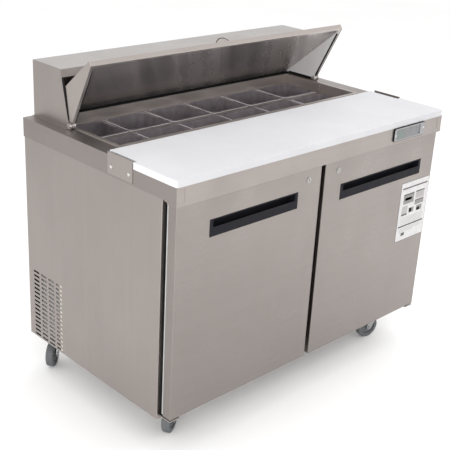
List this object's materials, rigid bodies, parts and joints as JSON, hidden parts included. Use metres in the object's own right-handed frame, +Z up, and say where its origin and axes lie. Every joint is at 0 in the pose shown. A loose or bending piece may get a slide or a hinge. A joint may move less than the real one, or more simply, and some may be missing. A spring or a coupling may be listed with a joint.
{
  "type": "refrigerated sandwich prep table",
  "caption": "Steel counter cooler on casters: hinged lid over food pans, white cutting board along the front, two doors with black pulls, low hood at the back.",
  "frame": {"origin": "middle of the bounding box in plan, on the floor under the casters", "axes": "+X to the right along the front as seen from in front, +Y from the doors to the back, +Z up"},
  "size_m": [1.231, 0.746, 1.1429],
  "materials": {
    "worktop_steel": "satin",
    "trim_steel": "satin",
    "bracket_steel": "satin",
    "screw_steel": "gloss",
    "hood_steel": "satin",
    "lid_steel": "satin",
    "lid_inner_steel": "polished",
    "side_steel": "satin",
    "door_steel": "satin",
    "door_filling": "satin",
    "insulating_foam": "matte",
    "inner_aluminium": "satin",
    "black_rubber": "matte",
    "black_plastic": "satin",
    "clear_plastic": "gloss",
    "board_plastic": "matte",
    "badge_metal": "satin",
    "lock_metal": "gloss",
    "caster_steel": "satin",
    "wheel_rubber": "satin",
    "shelf_coating": "gloss",
    "coil_aluminium": "satin",
    "fan_plastic": "satin",
    "compressor_paint": "satin"
  },
  "bodies": {
    "cabinet": {"worktop": "worktop_steel", "opening_frame": "trim_steel", "divider_bars": "trim_steel", "board_brackets": "bracket_steel", "screws": "screw_steel", "hood_shell": "hood_steel", "hood_seals": "black_rubber", "lid_pivot_bolts": "screw_steel", "left_side_panel": "side_steel", "right_side_panel": "side_steel", "back_panel": "side_steel", "cord_gland": "black_plastic", "base_pan": "side_steel", "inner_liner": "inner_aluminium", "insulation": "insulating_foam", "face_frame": "side_steel", "shelves": "shelf_coating", "shelf_clips": "bracket_steel", "badge": "badge_metal", "condenser_coil": "coil_aluminium", "compressor": "compressor_paint", "evaporator_coil": "coil_aluminium", "hinge_brackets": "bracket_steel", "caster_mounts": "caster_steel"},
    "lid": {"lid_shell": "lid_steel", "lid_liner": "lid_inner_steel", "lid_gaskets": "black_rubber"},
    "left_door": {"left_door_skin": "door_steel", "left_door_core": "door_filling", "left_door_gasket": "black_rubber", "left_door_handle": "black_plastic"},
    "left_lock": {"left_door_lock": "lock_metal"},
    "right_door": {"right_door_skin": "door_steel", "right_door_core": "door_filling", "right_door_gasket": "black_rubber", "right_door_handle": "black_plastic"},
    "right_lock": {"right_door_lock": "lock_metal"},
    "pan_front_1_body": {"pan_front_1": "clear_plastic"},
    "pan_front_2_body": {"pan_front_2": "clear_plastic"},
    "pan_front_3_body": {"pan_front_3": "clear_plastic"},
    "pan_front_4_body": {"pan_front_4": "clear_plastic"},
    "pan_front_5_body": {"pan_front_5": "clear_plastic"},
    "pan_front_6_body": {"pan_front_6": "clear_plastic"},
    "pan_rear_1_body": {"pan_rear_1": "clear_plastic"},
    "pan_rear_2_body": {"pan_rear_2": "clear_plastic"},
    "pan_rear_3_body": {"pan_rear_3": "clear_plastic"},
    "pan_rear_4_body": {"pan_rear_4": "clear_plastic"},
    "pan_rear_5_body": {"pan_rear_5": "clear_plastic"},
    "pan_rear_6_body": {"pan_rear_6": "clear_plastic"},
    "board": {"cutting_board": "board_plastic"},
    "condenser_fan_rotor": {"condenser_fan": "fan_plastic"},
    "evaporator_fan_rotor": {"evaporator_fan": "fan_plastic"},
    "caster_front_left": {"caster_fork_front_left": "caster_steel"},
    "wheel_front_left": {"caster_wheel_front_left": "wheel_rubber"},
    "caster_front_right": {"caster_fork_front_right": "caster_steel"},
    "wheel_front_right": {"caster_wheel_front_right": "wheel_rubber"},
    "caster_rear_left": {"caster_fork_rear_left": "caster_steel"},
    "wheel_rear_left": {"caster_wheel_rear_left": "wheel_rubber"},
    "caster_rear_right": {"caster_fork_rear_right": "caster_steel"},
    "wheel_rear_right": {"caster_wheel_rear_right": "wheel_rubber"}
  },
  "joints": [
    {"name": "lid_hinge", "type": "hinge", "parent": "cabinet", "child": "lid", "pos_m": [0, 0.178, 0.9135], "axis": [-1, 0, 0], "range_deg": [-63.6, 0]},
    {"name": "left_door_hinge", "type": "hinge", "parent": "cabinet", "child": "left_door", "pos_m": [-0.592, -0.35, 0.49], "axis": [0, 0, -1], "range_deg": [0, 110]},
    {"name": "right_door_hinge", "type": "hinge", "parent": "cabinet", "child": "right_door", "pos_m": [0.592, -0.35, 0.49], "axis": [0, 0, 1], "range_deg": [0, 110]},
    {"name": "left_lock_turn", "type": "hinge", "parent": "left_door", "child": "left_lock", "pos_m": [-0.068, -0.363, 0.793], "axis": [0, -1, 0], "range_deg": [0, 90]},
    {"name": "right_lock_turn", "type": "hinge", "parent": "right_door", "child": "right_lock", "pos_m": [0.073, -0.363, 0.795], "axis": [0, -1, 0], "range_deg": [0, 90]},
    {"name": "pan_front_1_lift", "type": "slide", "parent": "cabinet", "child": "pan_front_1_body", "axis": [0, 0, 1], "range_m": [0, 0.12]},
    {"name": "pan_front_2_lift", "type": "slide", "parent": "cabinet", "child": "pan_front_2_body", "axis": [0, 0, 1], "range_m": [0, 0.12]},
    {"name": "pan_front_3_lift", "type": "slide", "parent": "cabinet", "child": "pan_front_3_body", "axis": [0, 0, 1], "range_m": [0, 0.12]},
    {"name": "pan_front_4_lift", "type": "slide", "parent": "cabinet", "child": "pan_front_4_body", "axis": [0, 0, 1], "range_m": [0, 0.12]},
    {"name": "pan_front_5_lift", "type": "slide", "parent": "cabinet", "child": "pan_front_5_body", "axis": [0, 0, 1], "range_m": [0, 0.12]},
    {"name": "pan_front_6_lift", "type": "slide", "parent": "cabinet", "child": "pan_front_6_body", "axis": [0, 0, 1], "range_m": [0, 0.12]},
    {"name": "pan_rear_1_lift", "type": "slide", "parent": "cabinet", "child": "pan_rear_1_body", "axis": [0, 0, 1], "range_m": [0, 0.045]},
    {"name": "pan_rear_2_lift", "type": "slide", "parent": "cabinet", "child": "pan_rear_2_body", "axis": [0, 0, 1], "range_m": [0, 0.045]},
    {"name": "pan_rear_3_lift", "type": "slide", "parent": "cabinet", "child": "pan_rear_3_body", "axis": [0, 0, 1], "range_m": [0, 0.045]},
    {"name": "pan_rear_4_lift", "type": "slide", "parent": "cabinet", "child": "pan_rear_4_body", "axis": [0, 0, 1], "range_m": [0, 0.045]},
    {"name": "pan_rear_5_lift", "type": "slide", "parent": "cabinet", "child": "pan_rear_5_body", "axis": [0, 0, 1], "range_m": [0, 0.045]},
    {"name": "pan_rear_6_lift", "type": "slide", "parent": "cabinet", "child": "pan_rear_6_body", "axis": [0, 0, 1], "range_m": [0, 0.045]},
    {"name": "board_lift", "type": "slide", "parent": "cabinet", "child": "board", "axis": [0, 0, 1], "range_m": [0, 0.06]},
    {"name": "condenser_fan_spin", "type": "hinge", "parent": "cabinet", "child": "condenser_fan_rotor", "pos_m": [-0.53, 0.277, 0.262], "axis": [1, 0, 0], "continuous": true},
    {"name": "evaporator_fan_spin", "type": "hinge", "parent": "cabinet", "child": "evaporator_fan_rotor", "pos_m": [0.12, 0.219, 0.507], "axis": [0, 1, 0], "continuous": true},
    {"name": "front_left_swivel", "type": "hinge", "parent": "cabinet", "child": "caster_front_left", "pos_m": [-0.527, -0.256, 0.115], "axis": [0, 0, 1], "continuous": true},
    {"name": "front_left_roll", "type": "hinge", "parent": "caster_front_left", "child": "wheel_front_left", "pos_m": [-0.49409, -0.237, 0.0445], "axis": [-0.5, 0.866, 0], "continuous": true},
    {"name": "front_right_swivel", "type": "hinge", "parent": "cabinet", "child": "caster_front_right", "pos_m": [0.527, -0.256, 0.115], "axis": [0, 0, 1], "continuous": true},
    {"name": "front_right_roll", "type": "hinge", "parent": "caster_front_right", "child": "wheel_front_right", "pos_m": [0.48983, -0.2481, 0.0445], "axis": [-0.2079, -0.9781, 0], "continuous": true},
    {"name": "rear_left_swivel", "type": "hinge", "parent": "cabinet", "child": "caster_rear_left", "pos_m": [-0.527, 0.346, 0.115], "axis": [0, 0, 1], "continuous": true},
    {"name": "rear_left_roll", "type": "hinge", "parent": "caster_rear_left", "child": "wheel_rear_left", "pos_m": [-0.55653, 0.32209, 0.0445], "axis": [0.6293, -0.7771, 0], "continuous": true},
    {"name": "rear_right_swivel", "type": "hinge", "parent": "cabinet", "child": "caster_rear_right", "pos_m": [0.527, 0.346, 0.115], "axis": [0, 0, 1], "continuous": true},
    {"name": "rear_right_roll", "type": "hinge", "parent": "caster_rear_right", "child": "wheel_rear_right", "pos_m": [0.49129, 0.333, 0.0445], "axis": [0.342, -0.9397, 0], "continuous": true}
  ]
}
